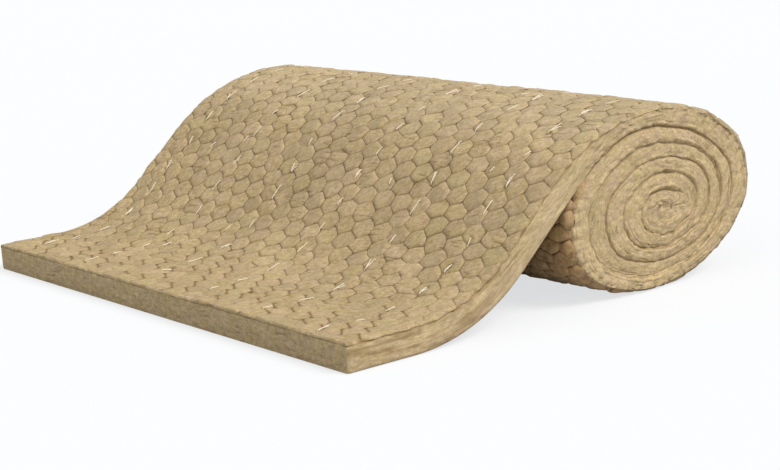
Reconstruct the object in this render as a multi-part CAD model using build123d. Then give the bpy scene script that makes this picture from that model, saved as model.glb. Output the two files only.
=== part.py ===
from build123d import *
import os
from math import cos, radians, sin

# A mineral wool blanket faced with wire netting, rolled up, with its outer end drawn out flat.
# X runs along the blanket, Y across its width and Z up, in millimetres. The free end points to -X.

# Blanket as sold
blanket_width = 600.0
free_thickness = 25.0

# Roll: quarter turns whose mean radius grows by this pitch for each full turn from the core. The
# turn outside the tight ones isn't squeezed, so it grows by the free thickness.
tight_turns = 5
tight_pitch = 15.0
core_radius = 7.3
seam_gap = 0.8

# The roll lies squashed on the floor. Its sides begin at these angles from +X, in degrees, and bend
# at these shares of the mean radius. The back faces the free end.
side_names = ("top", "back", "bottom", "front")
side_starts = (50.0, 138.0, 245.0, 315.0)
side_shares = (1.45, 0.63, 1.59, 0.56)
crest_tuck = 22.0

# Free end: it leaves the roll at this slope, sags back to level and lies flat to its cut end
slope_angle = 42.0
sag_radius = 150.0
flat_length = 65.0

SIDES = len(side_names)
BOTTOM = side_names.index("bottom")
LAST_TIGHT = tight_turns * SIDES
LAST_QUARTER = LAST_TIGHT + SIDES
CREST_ANGLE = 90.0


def direction(angle):
    """Unit vector of the section plane at this many degrees from +X."""
    return Vector(cos(radians(angle)), sin(radians(angle)))


def quarter_radius(index):
    """Radius of one quarter turn of the netting face, counted from the core outward."""
    tight = min(index, LAST_TIGHT)
    grown = tight * tight_pitch + (index - tight) * free_thickness
    radius = (core_radius + grown / SIDES) * side_shares[index % SIDES]
    return radius - crest_tuck if index == LAST_QUARTER else radius


def quarter_start(index):
    """Angle at which one quarter turn begins, in degrees, growing from turn to turn."""
    return side_starts[index % SIDES] + 360.0 * (index // SIDES)


def spiral_quarters():
    """Centre, radius, first angle and span of each quarter turn, tangent to the one before it."""
    quarters = []
    centre = Vector(0, 0)
    for index in range(LAST_QUARTER + 1):
        radius = quarter_radius(index)
        start = quarter_start(index)
        if quarters:
            _, last_radius, _, _ = quarters[-1]
            centre = centre + direction(start) * (last_radius - radius)
        quarters.append((centre, radius, start % 360.0, quarter_start(index + 1) - start))
    return quarters


def wound_face(quarters, grow):
    """Arcs along the quarter turns, moved outward by grow, as far as the crest of the last one."""
    arcs = [CenterArc(centre, radius + grow, start, span) for centre, radius, start, span in quarters[:-1]]
    centre, radius, start, _ = quarters[-1]
    arcs.append(CenterArc(centre, radius + grow, start, CREST_ANGLE - start))
    return arcs


def free_face(top, over_radius, foot_radius, floor):
    """One face of the free end: over the crest, down the slope and out level to the cut end."""
    bend = 1 - cos(radians(slope_angle))
    fall = top.Y - floor - (over_radius + foot_radius) * bend
    over = JernArc(top, (-1, 0), over_radius, slope_angle)
    down = Line(over @ 1, over @ 1 - direction(slope_angle) * (fall / sin(radians(slope_angle))))
    foot = JernArc(down @ 1, -direction(slope_angle), foot_radius, -slope_angle)
    flat = Line(foot @ 1, foot @ 1 - Vector(flat_length, 0))
    return [over, down, foot, flat]


def blanket_section():
    """Outline of the rolled blanket, seen from its near end."""
    quarters = spiral_quarters()
    netting_wound = wound_face(quarters[SIDES:], 0)
    plain_wound = wound_face(quarters[:-SIDES], seam_gap)

    low_centre, low_radius, _, _ = quarters[LAST_TIGHT + BOTTOM]
    floor = low_centre.Y - low_radius

    # The plain face rests on the roll until it leaves it; the netting face stays a thickness off
    netting_top = netting_wound[-1] @ 1
    plain_top = plain_wound[-1] @ 1
    plain_over = quarters[LAST_TIGHT][1] + seam_gap
    apart = (plain_top - netting_top).dot(direction(slope_angle - 90))
    netting_over = plain_over + (free_thickness - apart) / (1 - cos(radians(slope_angle)))

    netting_free = free_face(netting_top, netting_over, sag_radius, floor + free_thickness)
    plain_free = free_face(plain_top, plain_over, sag_radius + free_thickness, floor)
    core_end = Line(plain_wound[0] @ 0, netting_wound[0] @ 0)
    cut_end = Line(netting_free[-1] @ 1, plain_free[-1] @ 1)
    outline = [core_end, cut_end, *netting_wound, *plain_wound, *netting_free, *plain_free]
    return Plane.XZ * make_face([run.edge() for run in outline])


def wool_blanket():
    """The blanket as one solid, standing on Z = 0 with the middle of its box over the origin."""
    solid = extrude(blanket_section(), amount=blanket_width / 2, both=True)
    box = solid.bounding_box()
    return solid.moved(Location((-(box.min.X + box.max.X) / 2, 0, -box.min.Z)))


os.makedirs("parts", exist_ok=True)
export_step(wool_blanket(), "parts/wool_blanket.step")
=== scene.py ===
import math

import bpy
import numpy as np
from mathutils import Matrix, Vector, kdtree


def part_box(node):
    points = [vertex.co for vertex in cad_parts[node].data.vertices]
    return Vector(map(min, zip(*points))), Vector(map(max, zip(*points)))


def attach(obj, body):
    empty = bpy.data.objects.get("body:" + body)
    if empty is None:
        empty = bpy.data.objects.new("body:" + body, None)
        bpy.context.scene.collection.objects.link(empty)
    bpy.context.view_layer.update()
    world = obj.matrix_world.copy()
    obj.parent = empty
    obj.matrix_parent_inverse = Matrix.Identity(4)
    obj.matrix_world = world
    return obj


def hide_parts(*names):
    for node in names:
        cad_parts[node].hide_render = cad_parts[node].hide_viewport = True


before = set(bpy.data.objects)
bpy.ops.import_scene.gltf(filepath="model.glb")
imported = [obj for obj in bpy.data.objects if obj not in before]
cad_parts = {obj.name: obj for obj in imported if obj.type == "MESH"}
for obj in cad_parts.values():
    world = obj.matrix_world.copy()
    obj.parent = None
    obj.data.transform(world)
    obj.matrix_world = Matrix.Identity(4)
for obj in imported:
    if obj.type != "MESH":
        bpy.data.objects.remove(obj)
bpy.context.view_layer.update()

# A mineral wool blanket faced with wire netting, rolled up, with its outer end drawn out flat.
# Metres throughout. s runs along the netting face from the cut end, v across the width from the
# near edge, and h stands off the face.
MM = 0.001
LOW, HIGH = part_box("wool_blanket")
WIDTH = HIGH.y - LOW.y

# The blanket's section, as the solid has it
THICKNESS = 25 * MM
TIGHT_TURNS = 5
TIGHT_PITCH = 15 * MM
CORE_RADIUS = 7.3 * MM
SEAM_GAP = 0.8 * MM
SIDE_STARTS = (50.0, 138.0, 245.0, 315.0)
SIDE_SHARES = (1.45, 0.63, 1.59, 0.56)
CREST_TUCK = 22 * MM
CREST_ANGLE = 90.0
SLOPE_ANGLE = 42.0
SAG_RADIUS = 150 * MM
FLAT_LENGTH = 65 * MM

SIDES = len(SIDE_STARTS)
BOTTOM = 2
LAST_TIGHT = TIGHT_TURNS * SIDES
LAST_QUARTER = LAST_TIGHT + SIDES
STATION_STEP = 2 * MM
FEWEST_STATIONS = 14
FREE_STATIONS = (70, 50, 64, 34)
FLOOR_CLEAR = 0.1 * MM

# Netting: cells across the width, and the length of a row of them on the free end, on the roll and
# where they are gathered under it
CELLS_ACROSS = 23
ROW_FREE = 16.5 * MM
ROW_ROLL = 19.0 * MM
ROW_UNDER = 12.5 * MM
SHORTEST_ROW = 0.7 * ROW_UNDER
ROW_CHANGE = (0.26, 0.36)
SLANT_SHARE = 0.40
NODE_JITTER = 0.85 * MM
ROW_DRIFT = 2.4 * MM
DRIFT_SIZE = 0.16
WIRE_BOW = 0.5 * MM
WIRE_RADIUS = 0.28 * MM
WIRE_TWISTS = 1.5
TWIST_SPAN = (0.08, 0.92)
TWIST_POINTS = 7
WIRE_MARGINS = (2 * MM, 3 * MM)
WIRE_BURIED = 0.05 * MM
WIRE_BURIED_TAIL = 0.6 * MM
WIRE_BURIED_RIM = 0.5 * MM
# A direction that no wire or thread runs along, from which their rings of points are turned
ASKEW = (0.31, 0.87, 0.38)

# How deep the wires sink: most of them fully, some hardly at all. A pair holds the pull of a slanting
# wire on the flat tail and on the slope.
CREASE_DEPTH = 0.95 * MM
DEEP_CREASE = (0.65, 1.0)
SHALLOW_CREASE = (0.08, 0.5)
SHALLOW_SHARE = 0.24
FORWARD_PULL = (1.5, 0.7)
BACKWARD_PULL = (0.35, 1.0)
TWIST_PULL = 0.5
RIM_PULL = 0.15
END_PULL = 0.2
TAIL_END = (0.05, 0.14)
TAIL_BITE = 0.6

# Cells: rings of points from the wires to the middle, how high they rise and how strong the painted shade of
# the creases is on them
RINGS = np.array([0.045, 0.11, 0.23, 0.44, 0.72])
RING_RISE = (1 - (1 - RINGS) ** 6) ** 0.8
CREASE_SHADE = np.array([0.34, 0.03, 0.0, 0.0, 0.0])
# More painted shade on the creases of the tail, where they show as short dark ticks
TICK_SHADE = np.array([0.45, 0.4, 0.08, 0.0, 0.0])
TICK_CONTRAST = 1.5
CROWN = 0.65 * MM
CROWN_RANGE = (0.6, 1.35)
CROWN_LEAN = 0.045
MIDDLE_JITTER = 0.6 * MM

# Unevenness of the whole face: height, size and seed
LUMPS = ((0.4 * MM, 11 * MM, 31), (0.25 * MM, 4.2 * MM, 32), (1.1 * MM, 90 * MM, 33))

# Under the roll the cells are gathered, swell and fold. Spans are lengths before the cover.
PUFFED_LENGTH = 0.17
GATHERED = (1.2 * PUFFED_LENGTH, 0.7 * PUFFED_LENGTH)
PUFFED = (PUFFED_LENGTH, 0.4 * PUFFED_LENGTH)
FOLDED = (PUFFED_LENGTH, 0.6 * PUFFED_LENGTH)
PUFFED_CROWN = 3.0
CREASE_SWELL = 0.7
FOLD_HEIGHT = 2.4 * MM
COARSE_FOLDS = (8 * MM, 34)
FINE_FOLDS = (4 * MM, 35)
FOLD_LIMIT = 0.8
FOLD_MIDDLE = 0.45

# Warmth of the colour: it fades from 1 to 0 along the free end, and rises to 2 under the roll, where the
# rise is painted shade, a darker and redder brown
TAIL_WARMTH = (0.24, 0.36)
UNDER_SHADE_SPAN = (0.22, 0.12)
UNDER_PAINTED_SHADE = 2
EVEN_TINT = 0.5

# Painted shade in the pinches, along the rims' wrinkles and in the gathered folds
PINCH_SHADE = 0.8
WRINKLE_SHADE = 0.3
FOLD_SHADE = 0.6
TONE_SEED = 5

# Rims of the netting face. A pair holds values on the free end and on the roll.
RIM_RADIUS = (1.5 * MM, 4.2 * MM)
ROLL_RIM = (0.34, 0.46)
SCALLOP = (0.9 * MM, 1.8 * MM)
# Each lip row: tuck, drop and painted shade, the lower row darkest as shade in the crease at the rim
LIP_ROWS = ((-0.2 * MM, 0.4 * MM, 0.3), (1.8 * MM, 1.2 * MM, 0.9))
LIP_FOLLOWS = 0.75
LIP_SHADE = (1.0, 0.4)
LIP_WOBBLE = (0.5 * MM, 9 * MM, 55)
# The painted shade line in the crease under the rim: how far below the face, its width and its strength
RIM_LINE = (2.3 * MM, 5.0 * MM)
RIM_LINE_WIDTH = 0.6 * MM
RIM_LINE_SHADE = (0.9, 0.1)
RIM_WRINKLE = 0.55 * MM
RIM_WRINKLES = (15 * MM, 44)
WRINKLE_STRETCH = 4.5
RIM_BAND = 14 * MM

# Stitching through the blanket, with a few stray threads
STITCH_LINES = (54 * MM, 147 * MM, 252 * MM, 355 * MM, 455 * MM, 562 * MM)
STITCH_PITCH = 33.5 * MM
STITCH_START = 9 * MM
STITCH_OFFSET = 11 * MM
STITCH_LENGTH = (8 * MM, 18 * MM)
STITCH_VARIES = (0.88, 1.12)
STITCH_WANDER = 2.0 * MM
STITCH_AIM = 0.10
STITCH_RADIUS = 0.5 * MM
STITCH_DIP = 1.4 * MM
DIP_SHARE = 0.06
SPLIT_SHARE = 0.4
SPLIT_AIM = 0.22
SPLIT_START = 0.3
SPLIT_LENGTH = 0.7
STRAY_COUNT = 14
STRAY_FROM = 0.05
STRAY_MARGIN = 0.03
STRAY_LENGTH = (5 * MM, 11 * MM)
STRAY_AIM = 0.25
PINCH_DEPTH = 1.4 * MM
PINCH_RADIUS = 2.6 * MM
PINCH_SPREAD = 5.5 * MM
PINCH_AMOUNT = (0.35, 1.0)
STRAY_AMOUNT = (0.1, 0.65)

# Edges of the wound turns and of the free end: shares of the thickness where the points lie
ACROSS = np.array([
    0, 0.015, 0.04, 0.07, 0.11, 0.15, 0.2, 0.24, 0.28, 0.32, 0.37, 0.42, 0.47, 0.52, 0.57, 0.62, 0.66,
    0.7, 0.74, 0.77, 0.8, 0.83, 0.86, 0.89, 0.92, 0.945, 0.97, 0.985, 1.0])
OVERLAP = 0.4 * MM
CORE_LENGTH = 0.25
PLAIN_ROUND = 2.4 * MM
CUT_ROUND = 1.2 * MM

# How the edges draw back under the rims. A pair holds values on the free end and on the roll.
HELD_BACK = (0.3 * MM, 2.2 * MM)
RIM_TUCK = (1.6 * MM, 4.2 * MM)
TUCK_START = (0.89, 0.78)
TUCK_END = (0.95, 0.87)

# Random values on the edges: the size of their bumps, and what they add to the edge's seed
EDGE_NOISE = {
    "lumps": (15 * MM, 2), "fine lumps": (6 * MM, 3), "wander": (27 * MM, 7), "lean": (110 * MM, 10),
    "sunk seams": (45 * MM, 11), "dark seams": (40 * MM, 11), "folds": (9 * MM, 13),
    "fine folds": (4.6 * MM, 14), "patches": (30 * MM, 15), "fray": (8 * MM, 16),
    "groove reach": (20 * MM, 18), "rim line": (5 * MM, 19), "plug folds": (5.5 * MM, 20),
    "fine plug folds": (2.6 * MM, 21), "ridge": (13 * MM, 22), "streaks": (3 * MM, 23),
    "ragged rim": (7 * MM, 24)}

# Stations before and after the one where turns start to touch
SEAM_INSIDE = (-4, 10)
SEAM_OUTSIDE = (-8, 4)
TURN_TINT = (-4, 40)
PLAIN_PAST = 12
SKIRT_PAST = 6

# Seams between turns. Three numbers are a height or share, a size and what is added to the seed, and
# GAPE holds the lengths past the first touch where a seam starts to open, is open and closes again.
SEAM_DEPTH = 1.6 * MM
SEAM_ROUND = 1.2 * MM
SEAM_VARIES = ((0.45, 34 * MM, 1), (0.35, 8 * MM, 12))
SEAM_LINE = 0.9 * MM
GAPE = (0.0, 0.03, 0.13, 0.2)
GAPE_DEPTH = 1.3
GAPE_SHADE = 0.8
RIDGE_HEIGHT = 0.9 * MM
RIDGE_FROM_SEAM = 2.6 * MM
RIDGE_WIDTH = 1.2 * MM
TURN_STEPS = ((1.0 * MM, 150 * MM, 4), (0.5 * MM, 47 * MM, 9))
TURN_LEAN = 0.5 * MM
SHINGLE = 0.5 * MM
TURN_WANDER = (1.3 * MM, 2.7 * MM)
TURN_FRAY = 0.6 * MM

# Wool on the edges
EDGE_CROWN = 0.9 * MM
COARSE_LUMPS = 0.55 * MM
FINE_LUMPS = 0.4 * MM
PUFF_HEIGHT = 1.8 * MM
PUFF_LIMIT = 0.6
PUFF_MIDDLE = 0.5
FINE_FOLD_SHARE = 0.45
BESIDE_SEAM = 3 * MM
GROOVE_DEPTH = 1.9 * MM
GROOVE_WIDTH = 1.4 * MM
LAYER_LINES = ((0.28, 41), (0.47, 43), (0.66, 45), (0.8, 47))
LAYER_WAVE = (0.09, 60 * MM)
LAYER_BREAKS = 42 * MM
LAYER_WIDTH = 0.026
LAYER_STRENGTH = 0.4
LAYER_DEPTH = 0.9 * MM
TAIL_SIDE = (0.1, 0.28)
FIBRE_CHANGE = (0.3, 0.45)
FIBRE_STRETCH = (0.5, 1.2)
FIBRE_TURN = 1.15
# Tints of the edge, the wound turns and the tail, and painted shade on the rim under the roll
EDGE_TINTS_AND_SHADE = (0.1, 0.35, 0.3, 1.4)
HIDDEN_SHADE = 0.2
PLUG_GRID = (17, 57)
PLUG_DEPTH = 0.5 * MM
PLUG_REACH = 1.55
PLUG_BACK = 4 * MM
PLUG_SWIRL = 5.0
SKIRT_REACH = 1.3 * MM
SKIRT_DEPTH = 2.2 * MM

# Plain face and cut end
PLAIN_STEPS = 150
PLAIN_LUMPS = ((0.8 * MM, 26 * MM, 51), (0.3 * MM, 7 * MM, 52))
PLAIN_TINT = 0.6
PLAIN_START = 12 * MM
COARSE_CUT = (0.7 * MM, 9 * MM, 61)
FINE_CUT = (0.35 * MM, 3.5 * MM, 62)
CUT_BULGE = 0.9 * MM
CUT_TUCK = 1.6 * MM


def smooth(low, high, values):
    """Ramp from 0 at low to 1 at high, level at both ends."""
    share = np.clip((values - low) / (high - low), 0, 1)
    return share * share * (3 - 2 * share)


def field(a, b, size, seed):
    """Smooth random values in -1..1 over two coordinates, with bumps about this size."""
    cells = 64
    table = np.random.default_rng(seed).uniform(-1, 1, (cells, cells))
    a, b = np.asarray(a) / size, np.asarray(b) / size
    i, j = np.floor(a).astype(int), np.floor(b).astype(int)
    x, y = a - i, b - j
    x, y = x * x * (3 - 2 * x), y * y * (3 - 2 * y)
    i0, i1, j0, j1 = i % cells, (i + 1) % cells, j % cells, (j + 1) % cells
    near = table[i0, j0] * (1 - x) + table[i1, j0] * x
    far = table[i0, j1] * (1 - x) + table[i1, j1] * x
    return near * (1 - y) + far * y


def part_way(pair, share):
    """A value between the two of the pair, this share of the way."""
    return pair[0] + (pair[1] - pair[0]) * share


def relief(a, b, waves):
    """Random unevenness over two coordinates. Each wave is a height, a size and a seed."""
    return sum(height * field(a, b, size, seed) for height, size, seed in waves)


def line(away, width):
    """1 on a line, falling off to nothing about two widths from it."""
    return np.exp(-((away / width) ** 2))


def direction(angle):
    return np.array([math.cos(math.radians(angle)), math.sin(math.radians(angle))])


def arc(centre, radius, start, span, count):
    turn = np.radians(np.linspace(start, start + span, count))
    return centre + radius * np.column_stack([np.cos(turn), np.sin(turn)])


def spiral_quarters():
    """Centre, radius, first angle and span of each quarter turn of the netting face."""
    quarters = []
    centre = np.zeros(2)
    for index in range(LAST_QUARTER + 1):
        tight = min(index, LAST_TIGHT)
        grown = (tight * TIGHT_PITCH + (index - tight) * THICKNESS) / SIDES
        radius = (CORE_RADIUS + grown) * SIDE_SHARES[index % SIDES]
        if index == LAST_QUARTER:
            radius -= CREST_TUCK
        start = SIDE_STARTS[index % SIDES]
        span = (SIDE_STARTS[(index + 1) % SIDES] - start) % 360
        if quarters:
            centre = centre + direction(start) * (quarters[-1][1] - radius)
        quarters.append((centre, radius, start, span))
    return quarters


def free_run(top, over_radius, foot_radius, floor):
    """One face of the free end, from the crest to the cut end."""
    slope = math.radians(SLOPE_ANGLE)
    fall = top[1] - floor - (over_radius + foot_radius) * (1 - math.cos(slope))
    over = arc(top - [0, over_radius], over_radius, CREST_ANGLE, SLOPE_ANGLE, FREE_STATIONS[0])
    foot_start = over[-1] - direction(SLOPE_ANGLE) * (fall / math.sin(slope))
    down = np.linspace(over[-1], foot_start, FREE_STATIONS[1])
    foot_centre = foot_start + foot_radius * direction(SLOPE_ANGLE + 90)
    foot = arc(foot_centre, foot_radius, SLOPE_ANGLE + 270, -SLOPE_ANGLE, FREE_STATIONS[2])
    flat = np.linspace(foot[-1], foot[-1] - [FLAT_LENGTH, 0], FREE_STATIONS[3])
    return [over, down, foot, flat]


def join_runs(runs):
    return np.vstack([runs[0]] + [run[1:] for run in runs[1:]])


def length_along(points):
    return np.concatenate([[0], np.cumsum(np.linalg.norm(np.diff(points, axis=0), axis=1))])


class Blanket:
    """Both faces of the blanket at matching stations, from the cut end to the core."""

    def __init__(self):
        quarters = spiral_quarters()
        netting, plain = [], []
        for index in range(SIDES, LAST_QUARTER + 1):
            centre, radius, start, span = quarters[index]
            inner_centre, inner_radius, _, _ = quarters[index - SIDES]
            if index == LAST_QUARTER:
                span = CREST_ANGLE - start
            count = max(FEWEST_STATIONS, round(math.radians(span) * radius / STATION_STEP))
            netting.append(arc(centre, radius, start, span, count))
            plain.append(arc(inner_centre, inner_radius + SEAM_GAP, start, span, count))
        low_centre, low_radius, _, _ = quarters[LAST_TIGHT + BOTTOM]
        floor = low_centre[1] - low_radius
        plain_over = quarters[LAST_TIGHT][1] + SEAM_GAP
        apart = (plain[-1][-1] - netting[-1][-1]) @ direction(SLOPE_ANGLE - 90)
        netting_over = plain_over + (THICKNESS - apart) / (1 - math.cos(math.radians(SLOPE_ANGLE)))
        netting += free_run(netting[-1][-1], netting_over, SAG_RADIUS, floor + THICKNESS)
        plain += free_run(plain[-1][-1], plain_over, SAG_RADIUS + THICKNESS, floor)

        self.netting = join_runs(netting)[::-1]
        self.plain = join_runs(plain)[::-1]
        shift = np.array([LOW.x - self.plain[:, 0].min(), LOW.z - floor])
        self.netting = self.netting + shift
        self.plain = self.plain + shift
        self.s = length_along(self.netting)
        self.middle = length_along((self.netting + self.plain) / 2)
        slope = np.gradient(self.netting, axis=0)
        slope /= np.linalg.norm(slope, axis=1)[:, None]
        self.normal = np.column_stack([-slope[:, 1], slope[:, 0]])

        # The plain face touches the roll from this station on
        self.leave = sum(FREE_STATIONS[1:]) - len(FREE_STATIONS[1:])
        # The netting face is covered from where the plain face of the turn outside it leaves it
        centre, radius, _, _ = quarters[LAST_TIGHT]
        inside = centre + radius * direction(CREST_ANGLE + SLOPE_ANGLE) + shift
        wound = np.arange(len(self.netting)) > self.leave + FREE_STATIONS[0]
        apart = np.linalg.norm(self.netting - inside, axis=1)
        self.cover = int(np.argmin(np.where(wound, apart, np.inf)))
        self.covered_from = self.s[self.cover]
        self.crest_at = self.s[self.leave + FREE_STATIONS[0] - 1]

        # The bore, as the innermost turn of the plain face leaves it
        turn = length_along(self.plain[::-1])[::-1] < 2 * math.pi * (CORE_RADIUS + TIGHT_PITCH / 3)
        low, high = self.plain[turn].min(axis=0), self.plain[turn].max(axis=0)
        self.bore_centre, self.bore_reach = (low + high) / 2, (high - low) / 2

    def on_netting(self, s, v, h, clear=FLOOR_CLEAR):
        """Places of points by length along the netting face, width and height off it, and how far
        they stay clear of the floor."""
        x, z = (np.interp(s, self.s, self.netting[:, i]) for i in (0, 1))
        nx, nz = (np.interp(s, self.s, self.normal[:, i]) for i in (0, 1))
        height = np.maximum(z + nz * h, LOW.z + clear)
        return np.column_stack([x + nx * h + np.minimum(s, 0), v + LOW.y, height])


class Lattice:
    """The netting's nodes and the wavy quilt of cells between its wires, in s, v and h."""

    SLANT_STEPS = 4
    TWIST_STEPS = 2

    def __init__(self, blanket):
        self.random = np.random.default_rng(11)
        self.columns = 2 * CELLS_ACROSS
        self.length = blanket.covered_from
        rows = [0.0]
        while rows[-1] < self.length - SHORTEST_ROW:
            row = part_way((ROW_FREE, ROW_ROLL), smooth(*ROW_CHANGE, rows[-1]))
            gathered = before_cover(GATHERED, rows[-1], self.length)
            rows.append(rows[-1] + row + (ROW_UNDER - ROW_ROLL) * gathered)
        rows[-1] = self.length
        self.row_at = np.array(rows)
        self.rows = len(rows) - 1
        self.crest_row = int(np.argmin(abs(self.row_at - blanket.crest_at)))
        self.place_points()
        self.number_points()
        self.sink_creases()

    def place_points(self):
        """Nodes of each zigzag line and the points along the cell sides between them."""
        i, k = np.meshgrid(np.arange(self.rows + 1), np.arange(self.columns + 1), indexing="ij")
        pitch = np.gradient(self.row_at)[:, None]
        rise = np.where((i + k) % 2 == 0, 0.5, -0.5) * SLANT_SHARE * pitch
        s = self.row_at[:, None] + rise
        scallop = part_way(SCALLOP, smooth(*ROLL_RIM, s))
        v = k * WIDTH / self.columns + scallop * ((k == 0) * 1.0 - (k == self.columns))
        jitter = np.clip(self.random.normal(0, 1, (2, *s.shape)), -2, 2) * NODE_JITTER
        drift_s = ROW_DRIFT * field(s, v, DRIFT_SIZE, 21)
        drift_v = 0.8 * ROW_DRIFT * field(s, v, DRIFT_SIZE, 22)
        inner_rows = (i > 0) & (i < self.rows)
        inner_columns = (k > 0) & (k < self.columns)
        s = np.where(inner_rows, s + jitter[0] + drift_s, self.row_at[:, None])
        v = np.where(inner_columns, v + jitter[1] + drift_v, v)
        self.node = np.stack([s, v], axis=-1)

        def between(a, b, steps, bow):
            share = (np.arange(1, steps) / steps)[:, None]
            points = a[..., None, :] * (1 - share) + b[..., None, :] * share
            across = np.stack([a[..., 1] - b[..., 1], b[..., 0] - a[..., 0]], axis=-1)
            across /= np.maximum(np.linalg.norm(across, axis=-1, keepdims=True), 1e-9)
            push = self.random.normal(0, bow, a.shape[:-1])[..., None, None]
            return points + across[..., None, :] * push * np.sin(np.pi * share)

        self.slant = between(self.node[:, :-1], self.node[:, 1:], self.SLANT_STEPS, WIRE_BOW)
        self.twist = between(self.node[:-1], self.node[1:], self.TWIST_STEPS, 0.6 * WIRE_BOW)
        self.slant[0, ..., 0] = 0
        self.slant[-1, ..., 0] = self.length
        scallop = part_way(SCALLOP, smooth(*ROLL_RIM, self.twist[:, 0, :, 0]))
        self.twist[:, 0, :, 1] = -scallop
        self.twist[:, -1, :, 1] = WIDTH + scallop

    def crease_depths(self, place):
        """How deep each wire sinks: most of them fully, some hardly at all, less on the tail."""
        shape = place.shape[:2]
        deep = self.random.uniform(*DEEP_CREASE, shape)
        shallow = self.random.uniform(*SHALLOW_CREASE, shape)
        depth = np.where(self.random.random(shape) < SHALLOW_SHARE, shallow, deep)
        return depth * bite(place.mean(axis=2)[..., 0])

    def sink_creases(self):
        """How deep the wool sinks at every node and side point."""
        slant = self.crease_depths(self.slant)
        twist = self.crease_depths(self.twist)
        # The wires that run back along the blanket pull harder on the slope, the others on the tail
        forward = self.node[:, 1:, 0] > self.node[:, :-1, 0]
        on_slope = smooth(*TAIL_END, self.slant.mean(axis=2)[..., 0])
        slant *= np.where(forward, part_way(FORWARD_PULL, on_slope), part_way(BACKWARD_PULL, on_slope))
        twist *= TWIST_PULL
        twist[:, 0] = twist[:, -1] = RIM_PULL
        slant[0] = slant[-1] = END_PULL
        node = np.zeros(self.node.shape[:2])
        node[:, :-1] = np.maximum(node[:, :-1], slant)
        node[:, 1:] = np.maximum(node[:, 1:], slant)
        self.node_depth, self.slant_depth, self.twist_depth = node, slant, twist

    def points(self):
        """All points in one list: place in s and v, depth of the crease there and the strength of the
        painted shade in it.
        """
        slant = np.repeat(self.slant_depth[..., None], self.SLANT_STEPS - 1, axis=-1)
        twist = np.repeat(self.twist_depth[..., None], self.TWIST_STEPS - 1, axis=-1)
        place = np.vstack([a.reshape(-1, 2) for a in (self.node, self.slant, self.twist)])
        depth = np.concatenate([a.ravel() for a in (self.node_depth, slant, twist)])
        tail = 1 - smooth(*TAIL_END, place[:, 0])
        return place, depth, np.minimum(depth / bite(place[:, 0]), 1) ** (1 + TICK_CONTRAST * tail)

    def from_node(self, s):
        """Length along the face to the nearest line of nodes."""
        row = np.interp(s, self.row_at, np.arange(len(self.row_at)))
        return abs(row - np.round(row)) * np.interp(s, self.row_at, np.gradient(self.row_at))

    def number_points(self):
        """Ids of the nodes, then of the points on the slanting and on the twisted sides."""
        ids, first = [], 0
        for place in (self.node, self.slant, self.twist):
            ids.append(first + np.arange(place[..., 0].size).reshape(place.shape[:-1]))
            first += ids[-1].size
        self.node_ids, self.slant_ids, self.twist_ids = ids

    def loops(self, first_row, last_row):
        """Rims of the whole cells and of the cells halved by the edges, as point ids."""
        row, k = np.meshgrid(np.arange(first_row, last_row), np.arange(self.columns + 1), indexing="ij")
        row, k = row.ravel(), k.ravel()
        node, slant, twist = self.node_ids[..., None], self.slant_ids, self.twist_ids
        cell = (row + k) % 2 == 0
        inner = cell & (k > 0) & (k < self.columns)
        r, c = row[inner], k[inner]
        whole = np.hstack([
            node[r - 1, c - 1], slant[r - 1, c - 1], node[r - 1, c], slant[r - 1, c],
            node[r - 1, c + 1], twist[r - 1, c + 1], node[r, c + 1], slant[r, c][:, ::-1],
            node[r, c], slant[r, c - 1][:, ::-1], node[r, c - 1], twist[r - 1, c - 1][:, ::-1]])
        halves = []
        for edge, c in ((0, 0), (self.columns, self.columns - 1)):
            r = row[cell & (k == edge)]
            halves.append(np.hstack([
                node[r - 1, c], slant[r - 1, c], node[r - 1, c + 1], twist[r - 1, c + 1],
                node[r, c + 1], slant[r, c][:, ::-1], node[r, c], twist[r - 1, c][:, ::-1]]))
        return [whole[:, ::-1], np.vstack(halves)[:, ::-1]]


def before_cover(span, s, length):
    """Ramp from 0 to 1 over this span of lengths before the cover."""
    return smooth(length - span[0], length - span[1], s)


def bite(s):
    """How strongly the netting bites into the wool at this length from the cut end."""
    return part_way((TAIL_BITE, 1), smooth(*TAIL_END, s))


def puff(s, length):
    """How much the cells swell: plainly where the roll presses on the floor, near the cover."""
    return part_way((1, PUFFED_CROWN), before_cover(PUFFED, s, length))


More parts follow.
